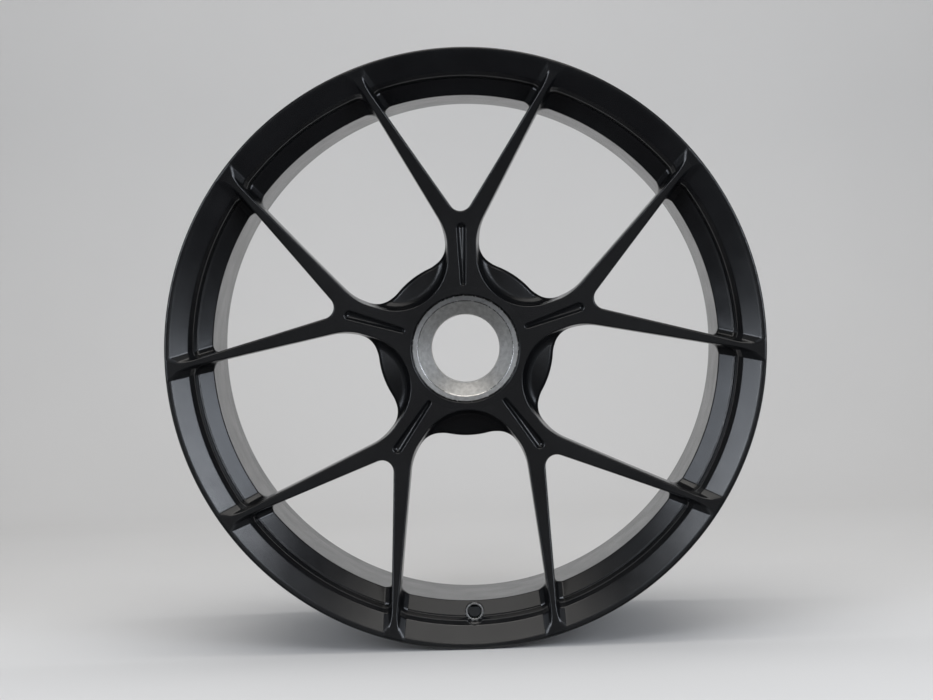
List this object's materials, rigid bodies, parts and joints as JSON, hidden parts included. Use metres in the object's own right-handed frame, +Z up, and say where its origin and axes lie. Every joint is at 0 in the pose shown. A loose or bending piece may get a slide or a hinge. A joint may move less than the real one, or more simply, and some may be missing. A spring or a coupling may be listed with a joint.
{
  "type": "racing wheel rim",
  "caption": "Forged centre-lock racing wheel rim with Y spokes, drop-centre barrel, bare-metal nut seat insert, drive pin bushes and an empty valve hole.",
  "frame": {"origin": "centre of the wheel: on its axis, half way between the outboard and inboard flange faces", "axes": "Y along the wheel's axis, -Y towards the outboard (street) side and +Y towards the car; +Z up through the middle of one Y spoke, so the valve hole is straight down at -Z; +X to the right seen from outboard"},
  "size_m": [0.543, 0.254, 0.543],
  "materials": {
    "satin_black": "satin",
    "bare_metal": "satin",
    "bush_steel": "satin"
  },
  "bodies": {
    "root": {"rim_outboard_flange": "satin_black", "rim_well": "satin_black", "rim_inner_barrel": "satin_black", "rim_inboard_flange": "satin_black", "hub_centre": "satin_black", "centre_seat_insert": "bare_metal", "spoke_stem_1": "satin_black", "spoke_arm_1a": "satin_black", "spoke_arm_1b": "satin_black", "drive_pin_bush_1": "bush_steel", "spoke_stem_2": "satin_black", "spoke_arm_2a": "satin_black", "spoke_arm_2b": "satin_black", "drive_pin_bush_2": "bush_steel", "spoke_stem_3": "satin_black", "spoke_arm_3a": "satin_black", "spoke_arm_3b": "satin_black", "drive_pin_bush_3": "bush_steel", "spoke_stem_4": "satin_black", "spoke_arm_4a": "satin_black", "spoke_arm_4b": "satin_black", "drive_pin_bush_4": "bush_steel", "spoke_stem_5": "satin_black", "spoke_arm_5a": "satin_black", "spoke_arm_5b": "satin_black", "drive_pin_bush_5": "bush_steel"}
  },
  "joints": []
}
